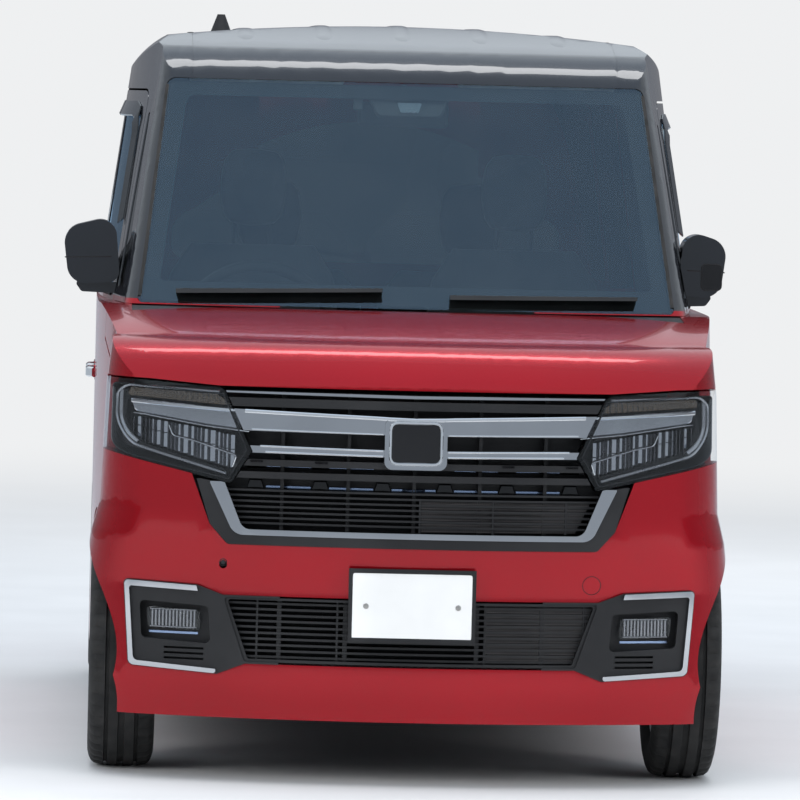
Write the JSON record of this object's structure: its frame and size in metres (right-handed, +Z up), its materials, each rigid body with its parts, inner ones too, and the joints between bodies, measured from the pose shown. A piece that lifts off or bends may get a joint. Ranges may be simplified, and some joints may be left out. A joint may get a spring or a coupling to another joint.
{
  "type": "tall kei passenger car",
  "caption": "Tall boxy five-door kei car: red metallic body, black roof, bright grille bars, front doors hinged, rear doors sliding, top-hinged tailgate.",
  "frame": {"origin": "centre of the bounding box, on the floor the tyres stand on", "axes": "+X to the car's left, +Y rearwards along its length, +Z up; the front faces -Y"},
  "size_m": [1.5838, 3.395, 1.7829],
  "materials": {
    "red_paint": "deep red metallic paint, clear coat",
    "black_paint": "gloss black paint",
    "black_plastic": "textured black",
    "chrome": "bright plating",
    "lamp_glass": "clear lens over dark housing",
    "plate_white": "blank number plate",
    "cast_metal": "cast and painted",
    "clear_glass": "lightly tinted",
    "dark_glass": "privacy tint",
    "tail_lens": "red lens",
    "dark_steel": "underbody coat",
    "cabin_plastic": "grained",
    "seat_fabric": "woven, dark",
    "bright_steel": "satin",
    "tyre": "rubber",
    "alloy": "machined and painted"
  },
  "bodies": {
    "body": {"engine_block": "cast_metal", "fuel_tank": "black_plastic", "body_side_left": "red_paint", "body_side_right": "red_paint", "roof": "black_paint", "front_wings": "red_paint", "front_bumper": "red_paint", "rear_bumper": "red_paint", "upper_grille": "black_plastic", "front_trim": "chrome", "lower_grille": "black_plastic", "fog_surrounds": "black_plastic", "fog_lamps": "lamp_glass", "headlamps": "lamp_glass", "plate_carrier": "plate_white", "radiator": "cast_metal", "windscreen": "clear_glass", "cowl": "black_plastic", "wipers": "black_plastic", "sliding_doors": "red_paint", "side_glass": "dark_glass", "tail_lamps": "tail_lens", "floor": "dark_steel", "arch_liners": "black_plastic", "dashboard": "cabin_plastic", "front_seats": "seat_fabric", "rear_seat": "seat_fabric", "front_suspension": "dark_steel", "rear_axle": "dark_steel", "exhaust": "bright_steel", "antenna": "black_plastic"},
    "front_door_left": {"front_door_left": "red_paint", "front_glass_left": "clear_glass", "mirror_left": "black_paint"},
    "front_door_right": {"front_door_right": "red_paint", "front_glass_right": "clear_glass", "mirror_right": "black_paint"},
    "tailgate": {"tailgate": "red_paint", "tailgate_glass": "dark_glass"},
    "bonnet": {"bonnet": "red_paint"},
    "knuckle_left": {"knuckle_left": "cast_metal"},
    "knuckle_right": {"knuckle_right": "cast_metal"},
    "steering_wheel": {"steering_wheel": "cabin_plastic"},
    "wheel_front_left": {"tyre_front_left": "tyre", "rim_front_left": "alloy"},
    "wheel_front_right": {"tyre_front_right": "tyre", "rim_front_right": "alloy"},
    "wheel_rear_left": {"tyre_rear_left": "tyre", "rim_rear_left": "alloy"},
    "wheel_rear_right": {"tyre_rear_right": "tyre", "rim_rear_right": "alloy"}
  },
  "joints": [
    {"name": "steer_left", "type": "hinge", "parent": "body", "child": "knuckle_left", "pos_m": [0.592, -1.2225, 0.2785], "axis": [0, 0, 1], "range_deg": [-35, 35]},
    {"name": "roll_front_left", "type": "hinge", "parent": "knuckle_left", "child": "wheel_front_left", "pos_m": [0.6525, -1.2225, 0.2785], "axis": [1, 0, 0], "continuous": true},
    {"name": "roll_rear_left", "type": "hinge", "parent": "body", "child": "wheel_rear_left", "pos_m": [0.6525, 1.2975, 0.2785], "axis": [1, 0, 0], "continuous": true},
    {"name": "door_left", "type": "hinge", "parent": "body", "child": "front_door_left", "pos_m": [0.7234, -0.7965, 0.7], "axis": [0, 0, -1], "range_deg": [0, 68]},
    {"name": "steer_right", "type": "hinge", "parent": "body", "child": "knuckle_right", "pos_m": [-0.592, -1.2225, 0.2785], "axis": [0, 0, 1], "range_deg": [-35, 35]},
    {"name": "roll_front_right", "type": "hinge", "parent": "knuckle_right", "child": "wheel_front_right", "pos_m": [-0.6525, -1.2225, 0.2785], "axis": [1, 0, 0], "continuous": true},
    {"name": "roll_rear_right", "type": "hinge", "parent": "body", "child": "wheel_rear_right", "pos_m": [-0.6525, 1.2975, 0.2785], "axis": [1, 0, 0], "continuous": true},
    {"name": "door_right", "type": "hinge", "parent": "body", "child": "front_door_right", "pos_m": [-0.7234, -0.7965, 0.7], "axis": [0, 0, 1], "range_deg": [0, 68]},
    {"name": "steering_column_turn", "type": "hinge", "parent": "body", "child": "steering_wheel", "pos_m": [-0.335, -0.3675, 0.985], "axis": [0, 0.9135, 0.4067], "range_deg": [-490, 490]},
    {"name": "tailgate_lift", "type": "hinge", "parent": "body", "child": "tailgate", "pos_m": [0, 1.5205, 1.68782], "axis": [1, 0, 0], "range_deg": [0, 80]},
    {"name": "bonnet_lift", "type": "hinge", "parent": "body", "child": "bonnet", "pos_m": [0, -1.1485, 1.0674], "axis": [-1, 0, 0], "range_deg": [0, 50]}
  ],
  "couplings": [
    {"joint": "steer_right", "follows": "steer_left", "ratio": 1},
    {"joint": "steering_column_turn", "follows": "steer_left", "ratio": 14}
  ]
}
